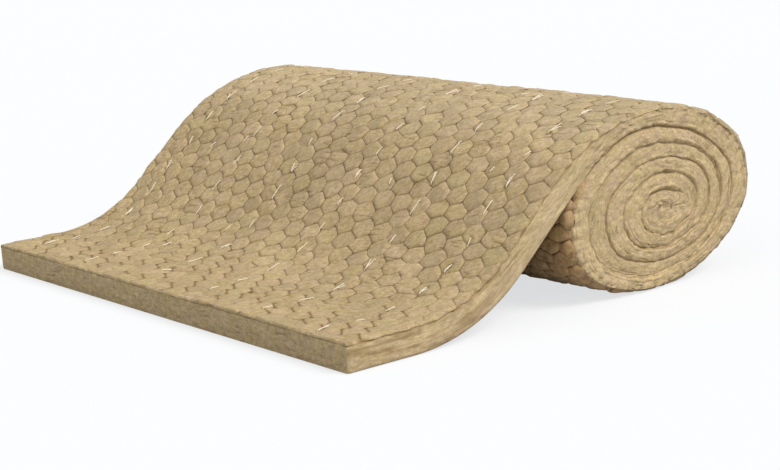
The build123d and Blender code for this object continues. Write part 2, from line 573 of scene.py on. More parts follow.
class Stitching:
    """Straight lengths of light thread along the blanket, and the pinches at their ends."""

    def __init__(self, length):
        random = np.random.default_rng(77)
        self.length = length
        self.threads = []
        for number, seam_v in enumerate(STITCH_LINES):
            at = STITCH_START + (STITCH_OFFSET * number) % STITCH_PITCH
            while at < length - PUFFED_LENGTH:
                reach = random.uniform(*STITCH_LENGTH)
                v = seam_v + random.normal(0, STITCH_WANDER)
                aim = random.normal(0, STITCH_AIM)
                self.threads.append((at, v, at + reach, v + aim * reach))
                if random.random() < SPLIT_SHARE:
                    split = random.normal(0, SPLIT_AIM)
                    start = at + random.uniform(0, SPLIT_START) * reach
                    self.threads.append((start, v, start + SPLIT_LENGTH * reach, v + split * reach))
                at += STITCH_PITCH * random.uniform(*STITCH_VARIES)
        for _ in range(STRAY_COUNT):
            at = random.uniform(STRAY_FROM, length - PUFFED_LENGTH)
            v = random.uniform(STRAY_MARGIN, WIDTH - STRAY_MARGIN)
            reach, aim = random.uniform(*STRAY_LENGTH), random.normal(0, STRAY_AIM)
            self.threads.append((at, v, at + reach, v + aim * reach))
        ends = np.array([[(a, b), (c, d)] for a, b, c, d in self.threads]).reshape(-1, 2)
        strays = np.repeat(ends, 2, axis=0) + random.normal(0, PINCH_SPREAD, (2 * len(ends), 2))
        ends = np.column_stack([ends, random.uniform(*PINCH_AMOUNT, len(ends))])
        strays = np.column_stack([strays, random.uniform(*STRAY_AMOUNT, len(strays))])
        self.pinches = np.vstack([ends, strays])

    def pinch(self, s, v):
        """Strength of the pinches at these places, from 0 to about 1."""
        total = np.zeros(len(s))
        reach = 3 * PINCH_RADIUS
        for at_s, at_v, amount in self.pinches:
            close = np.flatnonzero((abs(s - at_s) < reach) & (abs(v - at_v) < reach))
            away = ((s[close] - at_s) ** 2 + (v[close] - at_v) ** 2) / PINCH_RADIUS**2
            total[close] += amount * np.exp(-away)
        return total


def rim_radius(s):
    """The rims are crisp on the free end and puffed over on the roll."""
    return part_way(RIM_RADIUS, smooth(*ROLL_RIM, s))


def round_off(away, radius):
    """Depth of a rounded edge at this distance from it."""
    short = np.clip(radius - away, 0, radius)
    return radius - np.sqrt(np.maximum(radius**2 - short**2, 0))


def rim_drop(s, v):
    """How far the face rounds off towards the near, far and cut edges."""
    return round_off(np.minimum(np.minimum(v, WIDTH - v), s), rim_radius(s))


def rim_ridges(s, v):
    """Crumpled ridges that run along the near and far rims, from -1 to 1."""
    away = np.minimum(v, WIDTH - v)
    fade = 1 - smooth(0.3 * RIM_BAND, RIM_BAND, away)
    return fade * field(s, WRINKLE_STRETCH * v, *RIM_WRINKLES) * smooth(*TAIL_END, s)


def gathered_folds(s, v, length):
    """Fine folds where the netting is gathered under the roll."""
    folds = abs(field(1.5 * s, v, *COARSE_FOLDS)) + 0.6 * abs(field(s, 1.3 * v, *FINE_FOLDS))
    return FOLD_HEIGHT * before_cover(FOLDED, s, length) * (np.minimum(folds, FOLD_LIMIT) - FOLD_MIDDLE)


def quilt_height(s, v, height, stitching):
    """Adds the wool's own unevenness to the cells' height."""
    ridges = RIM_WRINKLE * rim_ridges(s, v) + gathered_folds(s, v, stitching.length)
    pinches = PINCH_DEPTH * stitching.pinch(s, v)
    return height + relief(s, v, LUMPS) + ridges - pinches - rim_drop(s, v)


def quilt(lattice, first_row, last_row):
    """Puffed cells between two rows: points in s, v, h, faces, crease shade and cell numbers."""
    place, depth, dark = lattice.points()
    sunk = CREASE_DEPTH * depth * puff(place[:, 0], lattice.length) ** CREASE_SWELL
    points = [np.column_stack([place, -sunk])]
    shades, faces, cells = [dark], [], []
    total, cell_number = len(place), 0
    random = lattice.random
    for loops in lattice.loops(first_row, last_row):
        count, sides = loops.shape
        rim = points[0][loops]
        middle = rim[..., :2].mean(axis=1) + random.normal(0, MIDDLE_JITTER, (count, 2))
        crown = CROWN * random.uniform(*CROWN_RANGE, count) * puff(middle[:, 0], lattice.length)
        crown *= bite(middle[:, 0])
        lean = random.normal(0, CROWN_LEAN, (count, 2))
        inner = []
        for share, up in zip(RINGS, RING_RISE):
            flat = middle[:, None] + (rim[..., :2] - middle[:, None]) * (1 - share)
            top = crown[:, None] + ((flat - middle[:, None]) * lean[:, None]).sum(axis=-1)
            high = rim[..., 2] * (1 - up) + top * up
            inner.append(np.dstack([flat, high]))
        inner = np.stack(inner, axis=1)
        ring_ids = total + np.arange(inner[..., 0].size).reshape(inner.shape[:3])
        total += ring_ids.size
        middle_ids = total + np.arange(count)
        total += count
        points += [inner.reshape(-1, 3), np.column_stack([middle, crown])]
        tail = (1 - smooth(*TAIL_END, middle[:, 0]))[:, None]
        shade = dark[loops][:, None] * (CREASE_SHADE + tail * TICK_SHADE)[..., None]
        shades += [shade.ravel(), np.zeros(count)]
        chain = np.concatenate([loops[:, None], ring_ids], axis=1)
        following = np.roll(chain, -1, axis=2)
        quads = np.stack([chain[:, :-1], following[:, :-1], following[:, 1:], chain[:, 1:]], axis=-1)
        hubs = np.broadcast_to(middle_ids[:, None], (count, sides))
        fans = np.stack([chain[:, -1], following[:, -1], hubs], axis=-1)
        numbers = cell_number + np.arange(count)
        faces += quads.reshape(-1, 4).tolist() + fans.reshape(-1, 3).tolist()
        cells += np.repeat(numbers, quads[0, ..., 0].size).tolist() + np.repeat(numbers, sides).tolist()
        cell_number += count
    return np.vstack(points), np.concatenate(shades), faces, cells


def lip(ids, rim, start, flip):
    """A skirt of two rows that carries the quilt over an edge. rim gives s and v for each row."""
    points, shades, faces = [], [], []
    above = np.asarray(ids)
    for (tuck, down, shade), (s, v) in zip(LIP_ROWS, rim):
        wobble = relief(s + v, s * 0, [LIP_WOBBLE])
        points.append(np.column_stack([s, v, -rim_radius(s) - down - wobble]))
        shades += (shade * part_way(LIP_SHADE, smooth(*ROLL_RIM, s))).tolist()
        below = start + np.arange(len(s))
        start += len(s)
        quads = np.stack([above[:-1], below[:-1], below[1:], above[1:]], axis=-1)
        faces += (quads[:, ::-1] if flip else quads).tolist()
        above = below
    return points, shades, faces, start


def rims(lattice, first_row, last_row, start):
    """The skirts along the near and far edges, and along the cut end where the stretch has it."""
    place, _, _ = lattice.points()
    node_ids, above = lattice.node_ids, slice(first_row - 1, last_row - 1)
    points, shades, faces = [], [], []
    for k, near in ((0, True), (lattice.columns, False)):
        ids = np.hstack([node_ids[above, k, None], lattice.twist_ids[above, k]]).ravel()
        ids = np.append(ids, node_ids[last_row - 1, k])
        s, v = place[ids].T
        tucks = [LIP_FOLLOWS * (v if near else WIDTH - v) + tuck for tuck, _, _ in LIP_ROWS]
        rim = [(s, tuck if near else WIDTH - tuck) for tuck in tucks]
        more = lip(ids, rim, start, not near)
        points, shades, faces, start = points + more[0], shades + more[1], faces + more[2], more[3]
    if first_row == 1:
        ids = np.hstack([node_ids[0, :-1, None], lattice.slant_ids[0]]).ravel()
        ids = np.append(ids, node_ids[0, -1])
        v = place[ids][:, 1]
        rim = [(np.full(len(v), tuck), v) for tuck, _, _ in LIP_ROWS]
        more = lip(ids, rim, start, True)
        points, shades, faces = points + more[0], shades + more[1], faces + more[2]
    return np.vstack(points), shades, faces


def make_piece(name, points, faces, material, attributes=()):
    """A smooth mesh piece on the root body, of the points that its faces use. Attributes are name,
    kind, domain and values."""
    used = np.unique(np.concatenate(faces))
    number = np.zeros(len(points), int)
    number[used] = np.arange(len(used))
    mesh = bpy.data.meshes.new(name)
    mesh.from_pydata(points[used], [], [number[face].tolist() for face in faces], shade_flat=False)
    for label, kind, domain, values in attributes:
        values = np.asarray(values, dtype=float)
        layer = mesh.attributes.new(label, kind, domain)
        layer.data.foreach_set("vector" if kind == "FLOAT_VECTOR" else "value",
                               (values[used] if domain == "POINT" else values).ravel())
    mesh.validate()
    mesh.materials.append(material)
    piece = add_thing(name, mesh)
    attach(piece, "root")
    return piece


def wool_attributes(surface, shade, tints, warmth_and_shade):
    """What the wool's material reads: fibre coordinates, painted shade for the creases, seams and hollows, a
    tint per face, and warmth, which under the roll also carries painted shade.
    """
    return [("surface", "FLOAT_VECTOR", "POINT", surface), ("painted_shade", "FLOAT", "POINT", shade),
            ("tile", "FLOAT_VECTOR", "FACE", tints), ("warmth_and_shade", "FLOAT", "POINT", warmth_and_shade)]


def netting_quilt(name, blanket, lattice, stitching, first_row, last_row, material):
    """One stretch of the quilted netting face, and its points in s, v and h."""
    flat, shade, faces, cells = quilt(lattice, first_row, last_row)
    lips, lip_shades, lip_faces = rims(lattice, first_row, last_row, len(flat))
    s, v, h = flat.T
    folded = -gathered_folds(s, v, lattice.length) / FOLD_HEIGHT
    # Painted shade in the pinches, in the valleys of the rims' wrinkles and in the valleys of the folds
    shade = shade + PINCH_SHADE * stitching.pinch(s, v) ** 2
    shade = shade + WRINKLE_SHADE * smooth(0.3, 0.7, -rim_ridges(s, v))
    shade = np.clip(shade + FOLD_SHADE * smooth(0.2, 0.42, folded), 0, 1)
    h = quilt_height(s, v, h, stitching)
    place = np.vstack([np.column_stack([s, v, h]), lips])
    shade = np.concatenate([shade, lip_shades])
    tones = np.random.default_rng(first_row + TONE_SEED).random((max(cells) + 2, 3))
    tints = np.vstack([tones[cells], np.full((len(lip_faces), 3), EVEN_TINT)])
    # Painted shade under the roll: warmth past 1 turns the wool a darker, redder brown
    under = before_cover(UNDER_SHADE_SPAN, place[:, 0], lattice.length)
    warmth_and_shade = 1 - smooth(*TAIL_WARMTH, place[:, 0]) + UNDER_PAINTED_SHADE * under
    piece = make_piece(name, blanket.on_netting(*place.T), faces + lip_faces, material,
                       wool_attributes(place, shade, tints, warmth_and_shade))
    return piece, place


class EdgeBand:
    """One edge of the blanket, wound turns and all, as a band of points. u runs along the blanket's
    middle from the cut end, and t across it from the plain face to the netting face."""

    def __init__(self, blanket, lattice, seed):
        self.blanket, self.seed = blanket, seed
        self.u, self.t = blanket.middle[:, None], ACROSS[None, :]
        self.thick = np.linalg.norm(blanket.netting - blanket.plain, axis=1)[:, None]
        self.inward, self.outward = self.t * self.thick, (1 - self.t) * self.thick
        station = np.arange(len(blanket.netting))[:, None]
        self.seam_inside = smooth(*SEAM_INSIDE, station - blanket.leave)
        self.seam_outside = smooth(*SEAM_OUTSIDE, station - blanket.cover)
        self.puffed = smooth(*ROLL_RIM, blanket.s[:, None])
        self.core = smooth(blanket.middle[-1] - CORE_LENGTH, blanket.middle[-1], self.u)

        # The seam gapes a little under the crest, just past where the free end leaves the roll
        first = np.where(self.t < 0.5, blanket.middle[blanket.leave], blanket.middle[blanket.cover])
        starts, opened, closing, closed = GAPE
        past = self.u - first
        self.gaping = smooth(starts, opened, past) * smooth(closed, closing, past)

        self.folds = abs(self.over("folds", slant=0.6))
        self.fine_folds = abs(self.over("fine folds", slant=-0.5))
        # Grooves run in from the netting's nodes, where the wool puffs over the rim of the roll
        run_in = smooth(0.3, 0.8, self.t + 0.15 * self.along("groove reach"))
        groove = line(lattice.from_node(blanket.s)[:, None], GROOVE_WIDTH)
        self.groove = groove * run_in * self.puffed * (1 - self.seam_outside)
        self.layers = self.layer_lines()

    def noise(self, name, a, b):
        size, code = EDGE_NOISE[name]
        return field(a, b, size, self.seed + code)

    def along(self, name):
        """Random values that change along the band only."""
        return self.noise(name, self.u, 0 * self.t)

    def over(self, name, stretch=1.0, slant=0.0, across=1.0):
        """Random values that change along and across the band."""
        return self.noise(name, stretch * self.u + slant * self.inward, across * self.inward)

    def waves(self, table):
        waves = [(height, size, self.seed + code) for height, size, code in table]
        return relief(self.u, 0 * self.t, waves)

    def layer_lines(self):
        """Lines between the layers that the wool comes in, broken here and there."""
        layers = 0
        for level, code in LAYER_LINES:
            at = level + self.waves([(*LAYER_WAVE, code)])
            here = smooth(0.05, 0.5, self.waves([(1, LAYER_BREAKS, code + 1)]))
            layers = layers + LAYER_STRENGTH * here * line(self.t - at, LAYER_WIDTH)
        return layers

    def wool_relief(self):
        """How far the lumpy, folded wool stands proud: most beside the seams and at the core."""
        lumps = COARSE_LUMPS * self.over("lumps") + FINE_LUMPS * self.over("fine lumps", across=1.6)
        folds, fine_folds = (np.minimum(wave, PUFF_LIMIT) for wave in (self.folds, self.fine_folds))
        beside = np.exp(-np.minimum(self.inward, self.outward) / BESIDE_SEAM)
        puffs = PUFF_HEIGHT * (folds + FINE_FOLD_SHARE * fine_folds - PUFF_MIDDLE)
        puffs = puffs * (0.6 + 0.7 * beside + 0.8 * self.core)
        ridge = RIDGE_HEIGHT * smooth(-0.2, 0.5, self.along("ridge"))
        ridge = ridge * line(self.inward - RIDGE_FROM_SEAM, RIDGE_WIDTH)
        return lumps * (1 + 0.6 * self.core) + (puffs + ridge) * self.seam_inside

    def depth(self):
        """How far each point lies behind the plane of the edge."""
        u, t, inside, outside = self.u, self.t, self.seam_inside, self.seam_outside

        # Rounded corners at the plain face, soft valleys between turns and a groove under the rim
        rounding = SEAM_ROUND * (1 + self.waves(SEAM_VARIES))
        sunk = SEAM_DEPTH * (0.5 + 0.5 * smooth(-0.5, 0.5, self.along("sunk seams")))
        sunk = sunk * (1 + GAPE_DEPTH * self.gaping)
        tuck = smooth(part_way(TUCK_START, self.puffed), part_way(TUCK_END, self.puffed), t)
        depth = (1 - inside) * round_off(self.inward, PLAIN_ROUND) + round_off(u, CUT_ROUND)
        depth = depth + inside * sunk * np.exp(-self.inward / rounding)
        depth = depth + outside * sunk * np.exp(-self.outward / rounding)
        depth = depth + (1 - outside) * part_way(RIM_TUCK, self.puffed) * tuck

        # Each turn stands a little in or out and leans a little
        step = self.waves(TURN_STEPS) + TURN_LEAN * self.along("lean") * (2 * t - 1)
        step = step + SHINGLE * (1 - 2 * t) * np.where(t > 0.5, outside, 1.0)
        from_plain = smooth(0, 0.16, t)
        held = from_plain * smooth(0, 0.01, u) + inside * (1 - from_plain)
        proud = EDGE_CROWN * 4 * t * (1 - t) + self.wool_relief() + step * inside
        return depth - held * (proud - LAYER_DEPTH * self.layers) + GROOVE_DEPTH * self.groove

    def shade(self):
        """Painted shade in the seams, more where they gape, in the line under the rim, the grooves, the fold
        valleys and the layer lines, and darker streaks along the side of the tail.
        """
        inside, outside = self.seam_inside, self.seam_outside
        dark = 0.5 + 0.5 * smooth(-0.4, 0.4, self.along("dark seams")) + GAPE_SHADE * self.gaping
        seams = inside * np.exp(-self.inward / SEAM_LINE) + outside * np.exp(-self.outward / SEAM_LINE)
        rim_line = (1 - outside) * line(self.outward - part_way(RIM_LINE, self.puffed), RIM_LINE_WIDTH)
        broken = 0.45 + 0.75 * smooth(-0.3, 0.3, self.along("rim line"))
        rim_line = part_way(RIM_LINE_SHADE, self.puffed) * rim_line * broken
        crumpled = inside * (smooth(0.09, 0.0, self.folds) + 0.6 * smooth(0.09, 0.0, self.fine_folds))
        patchy = smooth(0.0, 0.6, self.over("patches"))
        streaky = 0.16 + 0.42 * smooth(-0.3, 0.5, self.over("streaks", stretch=0.1))
        shade = dark * seams + rim_line + 0.45 * self.groove + 0.4 * self.layers
        shade = shade + 0.5 * crumpled * patchy + streaky * (1 - smooth(*TAIL_SIDE, self.u))
        return np.clip(shade, 0, 1)

    def place(self):
        """The points in the plane of the section. The turns wander a little; the outermost face stays
        where the netting is."""
        t, inside, outside = self.t, self.seam_inside, self.seam_outside
        wide = t + (2 * t - 1) * OVERLAP / self.thick * np.where(t < 0.5, inside, outside)
        behind_rim = part_way(HELD_BACK, self.puffed) / self.thick
        wide = wide - behind_rim * (1 - outside) * smooth(0.8, 1, t)
        place = part_way((self.blanket.plain[:, None], self.blanket.netting[:, None]), wide[..., None])

        def shifts(name):
            size, code = EDGE_NOISE[name]
            x, z = place[..., 0], place[..., 1]
            return np.dstack([field(x, z, size, self.seed + code + axis) for axis in (0, 1)])

        free = (np.where(t > 0.5, outside, 1.0) * inside)[..., None]
        wander = part_way(TURN_WANDER, self.core)[..., None] * shifts("wander")
        place = place + free * (wander + TURN_FRAY * shifts("fray"))
        place[..., 1] = np.maximum(place[..., 1], LOW.z + FLOOR_CLEAR)
        return place

    def surface(self, depth):
        """Fibre coordinates: drawn out along the free end and felted every way on the wound turns."""
        drawn = part_way(FIBRE_STRETCH, smooth(*FIBRE_CHANGE, self.blanket.middle))
        along = np.cumsum(drawn * np.gradient(self.blanket.middle))[:, None]
        return np.dstack([self.inward, np.broadcast_to(along, depth.shape), -depth])

    def warmth_and_shade(self, length):
        """Tint of the edge: its own, the wound turns' and the tail's, and painted shade on the rim under the
        roll.
        """
        s = self.blanket.s[:, None]
        station = np.arange(len(s))[:, None]
        wound = smooth(*TURN_TINT, station - self.blanket.leave)
        tail = 1 - smooth(*TAIL_SIDE, s)
        ragged = ACROSS + 0.12 * self.noise("ragged rim", s, 60 * MM * ACROSS)
        shaded = before_cover((PUFFED_LENGTH, 0), s, length) * smooth(0.8, 1.0, ragged) * (s < length)
        own, on_turns, on_tail, painted_rim_shade = EDGE_TINTS_AND_SHADE
        return own + on_turns * wound + on_tail * tail + painted_rim_shade * shaded


def edge_y(depth, near):
    """Place across the width, at this depth behind the near or far edge."""
    return LOW.y + depth if near else HIGH.y - depth


def grid_faces(rows, columns, start, flip):
    """Quads between neighbouring points of a grid, as point ids from start on."""
    a = start + np.arange(rows - 1)[:, None] * columns + np.arange(columns - 1)
    quads = np.stack([a, a + 1, a + columns + 1, a + columns], axis=-1).reshape(-1, 4)
    return (quads[:, ::-1] if flip else quads).tolist()


def edge_attributes(surface, shade, warmth_and_shade, face_count):
    """The same for wool off the netting face, where every face has the same tint."""
    tints = np.tile((FIBRE_TURN, EVEN_TINT, EVEN_TINT), (face_count, 1))
    return wool_attributes(surface, shade, tints, warmth_and_shade)


def seam_skirts(blanket, place, depth, near):
    """Wool that runs on from the borders of the wound turns, behind the turns beside them."""
    points, faces = [], []
    borders = ((0, -1, blanket.leave + SKIRT_PAST), (-1, 0, blanket.cover - SKIRT_PAST))
    for border, opposite, first in borders:
        edge, across = place[first:, border], place[first:, border] - place[first:, opposite]
        beyond = edge + across / np.linalg.norm(across, axis=1)[:, None] * SKIRT_REACH
        start = sum(len(row) for row in points)
        for row, deeper in ((edge, 0), (beyond, SKIRT_DEPTH)):
            y = edge_y(depth[first:, border] + deeper, near)
            points.append(np.column_stack([row[:, 0], y, row[:, 1]]))
        faces += grid_faces(2, len(edge), start, near == (border == 0))
    return np.vstack(points), faces


def core_plug(blanket, band, near):
    """Crumpled wool that the innermost turn pushes into the mouth of the bore."""
    share = np.linspace(0, 1, PLUG_GRID[0])[:, None]
    turn = np.linspace(0, 2 * np.pi, PLUG_GRID[1])[None, :]
    reach = share * PLUG_REACH * (1 + 0.06 * np.sin(3 * turn + band.seed))
    x = blanket.bore_centre[0] + blanket.bore_reach[0] * reach * np.cos(turn)
    z = blanket.bore_centre[1] + blanket.bore_reach[1] * reach * np.sin(turn)
    folds = 1 - 2 * abs(band.noise("plug folds", x, 1.7 * z))
    fine = 1 - 2 * abs(band.noise("fine plug folds", x, z))
    swirl = np.cos(turn - PLUG_SWIRL * share)
    proud = -(0.9 * folds + 0.5 * fine + 0.5 * swirl) * MM
    depth = PLUG_DEPTH - proud + PLUG_BACK * smooth(0.8, 1.0, share)
    points = np.dstack([x, edge_y(depth, near), z]).reshape(-1, 3)
    surface = np.dstack([z, x, proud]).reshape(-1, 3)
    # Painted shade in the plug's hollows and where it sinks into the bore
    shade = 0.7 * smooth(-0.6 * MM, -1.6 * MM, proud) + 0.4 * smooth(0.75, 1.0, share)
    return points, surface, np.clip(shade, 0, 1).ravel(), grid_faces(*x.shape, 0, not near)


def wool_edge(name, blanket, lattice, material, near, seed):
    """The near or far edge of the blanket: the free end's side and the wound turns with their core."""
    band = EdgeBand(blanket, lattice, seed)
    place, depth = band.place(), band.depth()
    points = np.dstack([place[..., 0], edge_y(depth, near), place[..., 1]])
    faces = grid_faces(*depth.shape, 0, near)
    plug, plug_surface, plug_shade, plug_faces = core_plug(blanket, band, near)
    skirts, skirt_faces = seam_skirts(blanket, place, depth, near)
    for start, more in ((depth.size, plug_faces), (depth.size + len(plug), skirt_faces)):
        faces += [[corner + start for corner in face] for face in more]
    surface = np.vstack([band.surface(depth).reshape(-1, 3), plug_surface, skirts])
    shade = np.concatenate([band.shade().ravel(), plug_shade, np.full(len(skirts), HIDDEN_SHADE)])
    hidden = np.full(len(plug) + len(skirts), HIDDEN_SHADE)
    warmth_and_shade = np.append(band.warmth_and_shade(lattice.length), hidden)
    piece = make_piece(name, np.vstack([points.reshape(-1, 3), plug, skirts]), faces, material,
                       edge_attributes(surface, shade, warmth_and_shade, len(faces)))
    return piece, points


def plain_and_cut_faces(blanket, near, far, material):
    """The plain face of the free end and its cut end, spanning the borders of the two edges."""
    stations = blanket.leave + PLAIN_PAST
    share = np.linspace(0, 1, PLAIN_STEPS + 1)[None, :, None]
    inner = np.sin(np.pi * share[..., 0]) > 0.03
    plain = near[:stations, :1] * (1 - share) + far[:stations, :1] * share
    u, v = blanket.middle[:stations][:, None], share[..., 0] * WIDTH
    lift = sum(height * abs(field(u, v, size, seed)) for height, size, seed in PLAIN_LUMPS)
    lift = lift * inner * smooth(0, PLAIN_START, u)
    plain[..., 0] += blanket.normal[:stations, :1] * lift
    plain[..., 2] = np.maximum(plain[..., 2] + blanket.normal[:stations, 1:] * lift, LOW.z)

    cut = near[0][:, None] * (1 - share) + far[0][:, None] * share
    t = ACROSS[:, None]
    up = t * THICKNESS
    rough = relief(2 * up, v, [COARSE_CUT]) + relief(up, v, [FINE_CUT])
    bulge = CUT_BULGE * np.sin(np.pi * t)
    cut[..., 0] += (rough - bulge) * inner * smooth(0, 0.1, t) + CUT_TUCK * smooth(0.86, 0.94, t)

    surface = np.vstack([
        np.dstack(np.broadcast_arrays(v, u, lift)).reshape(-1, 3),
        np.dstack(np.broadcast_arrays(up, v, -rough)).reshape(-1, 3)])
    points = np.vstack([plain.reshape(-1, 3), cut.reshape(-1, 3)])
    faces = grid_faces(*lift.shape, 0, False) + grid_faces(*rough.shape, lift.size, True)
    warmth_and_shade = np.full(len(points), PLAIN_TINT)
    return make_piece("wool_plain_face", points, faces, material,
                      edge_attributes(surface, np.zeros(len(points)), warmth_and_shade, len(faces)))


def tube(path, radius, sides, start):
    """Points and faces of a closed tube along a path."""
    path = np.asarray(path)
    ahead = np.gradient(path, axis=0)
    ahead /= np.maximum(np.linalg.norm(ahead, axis=1)[:, None], 1e-12)
    across = np.cross(ahead, ASKEW)
    across /= np.maximum(np.linalg.norm(across, axis=1)[:, None], 1e-12)
    up = np.cross(ahead, across)
    turn = np.arange(sides) * 2 * np.pi / sides
    ring = across[:, None] * np.cos(turn)[:, None] + up[:, None] * np.sin(turn)[:, None]
    points = (path[:, None] + ring * radius).reshape(-1, 3)
    a = start + np.arange(len(path) - 1)[:, None] * sides + np.arange(sides)
    b = start + np.arange(len(path) - 1)[:, None] * sides + (np.arange(sides) + 1) % sides
    faces = np.stack([a, b, b + sides, a + sides], axis=-1).reshape(-1, 4).tolist()
    faces.append([start + i for i in range(sides)][::-1])
    faces.append([start + (len(path) - 1) * sides + i for i in range(sides)])
    return points, faces


def tubes_piece(name, paths, radius, sides, material):
    """One piece of closed tubes, a tube along each path."""
    points, faces, start = [], [], 0
    for path in paths:
        more, its = tube(path, radius, sides, start)
        points.append(more)
        faces += its
        start += len(more)
    return make_piece(name, np.vstack(points), faces, material)


def netting_strands(blanket, lattice, stitching, first_row, last_row):
    """Each strand zigzags along the blanket and twists with its neighbours in turn."""
    off = 0.75 * WIRE_RADIUS
    share = np.linspace(*TWIST_SPAN, TWIST_POINTS)
    rim, in_rim = WIRE_MARGINS
    strands = []
    for j in range(lattice.columns):
        s, v, h = [], [], []
        for row in range(first_row, last_row):
            c = j if (row + j) % 2 else j + 1
            way = np.array([lattice.node[row - 1, c], lattice.twist[row - 1, c, 0], lattice.node[row, c]])
            along, side = (np.interp(share, [0, 0.5, 1], way[:, axis]) for axis in (0, 1))
            sinking = CREASE_DEPTH * puff(way[0, 0], lattice.length) ** CREASE_SWELL
            phase = 2 * np.pi * WIRE_TWISTS * share + (0 if c == j else np.pi)
            slant = lattice.slant[row, j]
            if c == j + 1:
                slant = slant[::-1]
            s += [*along, *slant[:, 0]]
            v += [*(side + off * np.cos(phase)), *slant[:, 1]]
            h += [*(off * np.sin(phase) - sinking * lattice.twist_depth[row - 1, c])]
            h += [-sinking * lattice.slant_depth[row, j]] * len(slant)
        s, v = np.array(s), np.clip(v, rim, WIDTH - rim)
        buried = WIRE_BURIED + WIRE_BURIED_TAIL * (1 - bite(s))
        buried += WIRE_BURIED_RIM * ((v < in_rim) | (v > WIDTH - in_rim))
        h = quilt_height(s, v, np.array(h), stitching) - buried
        strands.append(blanket.on_netting(s, v, h, 1.2 * WIRE_RADIUS))
    return strands


def thread_paths(blanket, stitching, surface):
    """The light threads, laid on the quilt and dipping into it at their ends."""
    tree = kdtree.KDTree(len(surface))
    for index, (s, v, _) in enumerate(surface):
        tree.insert((s, v, 0), index)
    tree.balance()
    share = np.array([0, 0.04, 0.1, 0.2, 0.35, 0.5, 0.65, 0.8, 0.9, 0.96, 1])
    dip = STITCH_DIP * np.clip(1 - np.minimum(share, 1 - share) / DIP_SHARE, 0, 1)
    paths = []
    for start_s, start_v, end_s, end_v in stitching.threads:
        s, v = part_way((start_s, end_s), share), part_way((start_v, end_v), share)
        heights = []
        for a, b in zip(s, v):
            close = [surface[index][2] for _, index, _ in tree.find_n((a, b, 0), 4)]
            heights.append(0.5 * (max(close) + sum(close) / len(close)))
        straight = part_way((np.mean(heights[1:4]), np.mean(heights[-4:-1])), share)
        lift = 0.8 * max(0, (np.array(heights) - straight).max()) + 0.5 * STITCH_RADIUS
        paths.append(blanket.on_netting(s, v, straight + lift - dip, 1.2 * STITCH_RADIUS))
    return paths


class Nodes:
    """A little shorthand for building a material."""

    def __init__(self, name, **finish):
        self.material = bpy.data.materials.new(name)
        self.material.use_nodes = True
        self.tree = self.material.node_tree
        self.shader = next(n for n in self.tree.nodes if n.type == "BSDF_PRINCIPLED")
        for key, value in finish.items():
            self.shader.inputs[key.replace("_", " ")].default_value = value

    def add(self, kind, inputs=(), **settings):
        node = self.tree.nodes.new(kind)
        for key, value in settings.items():
            setattr(node, key, value)
        for key, value in dict(inputs).items():
            self.put(node.inputs[key], value)
        return node

    def put(self, socket, value):
        if isinstance(value, bpy.types.NodeSocket):
            self.tree.links.new(value, socket)
        else:
            socket.default_value = value

    def mix(self, factor, a, b, blend="MIX"):
        inputs = {"Factor": factor, "A": a, "B": b}
        return self.add("ShaderNodeMix", inputs, data_type="RGBA", blend_type=blend).outputs["Result"]

    def math(self, operation, a, b):
        return self.add("ShaderNodeMath", {0: a, 1: b}, operation=operation).outputs[0]

    def times(self, first, *others):
        for other in others:
            first = self.math("MULTIPLY", first, other)
        return first

    def plus(self, first, *others):
        for other in others:
            first = self.math("ADD", first, other)
        return first

    def ramp(self, value, low, high, out_low=0.0, out_high=1.0):
        inputs = {"Value": value, "From Min": low, "From Max": high,
                  "To Min": out_low, "To Max": out_high}
        return self.add("ShaderNodeMapRange", inputs, interpolation_type="SMOOTHSTEP").outputs[0]

    def noise(self, vector, scale, detail=4.0, roughness=0.6, distortion=0.0, w=None):
        inputs = {"Vector": vector, "Scale": scale, "Detail": detail, "Roughness": roughness,
                  "Distortion": distortion}
        if w is None:
            return self.add("ShaderNodeTexNoise", inputs, noise_dimensions="3D").outputs[0]
        return self.add("ShaderNodeTexNoise", {**inputs, "W": w}, noise_dimensions="4D").outputs[0]

    def stretched(self, vector, scale, angle=0.0, wander=None):
        """Coordinates turned by this angle, plus a wander in radians, then scaled."""
        angle = math.radians(angle)
        turn = self.add("ShaderNodeCombineXYZ", {"Z": angle if wander is None else self.plus(wander, angle)})
        turned = self.add("ShaderNodeMapping", {"Vector": vector, "Rotation": turn.outputs[0]})
        return self.add("ShaderNodeMapping", {"Vector": turned.outputs[0], "Scale": scale}).outputs[0]

    def attribute(self, name):
        return self.add("ShaderNodeAttribute", attribute_name=name, attribute_type="GEOMETRY")

    def parts(self, vector):
        return self.add("ShaderNodeSeparateXYZ", {"Vector": vector}).outputs


# Dark and light fibres where the wool is cool and where it is warm, and the other colours
COOL_FIBRES = (0.44, 0.325, 0.165, 1), (0.68, 0.545, 0.335, 1)
WARM_FIBRES = (0.40, 0.285, 0.13, 1), (0.62, 0.475, 0.262, 1)
WIRE_COLOURS = (0.27, 0.165, 0.07, 1), (0.16, 0.092, 0.036, 1)
THREAD_COLOURS = (0.92, 0.85, 0.69, 1), (0.80, 0.70, 0.50, 1)
WRINKLE_SHADE_COLOUR = (0.24, 0.15, 0.062, 1)
# Painted shade for the creases, seams, pinches and folds, the second colour where the roll shades the wool,
# and how strongly it is laid on
CREASE_SHADE_COLOURS = (0.215, 0.12, 0.04, 1), (0.1, 0.04, 0.016, 1)
CREASE_SHADE_STRENGTH = 0.74
# Each cell turns its fibres by a share of this, in radians, and starts its noise elsewhere
FIBRE_WANDER = 0.8
FIBRE_START = 40.0
# Scale along three axes and angle in degrees
STREAKS = (520, 120, 60), -30
CROSSING = (170, 380, 60), -32
FINE = (1500, 380, 700), -30
WRINKLES = (300, 34, 60), -7
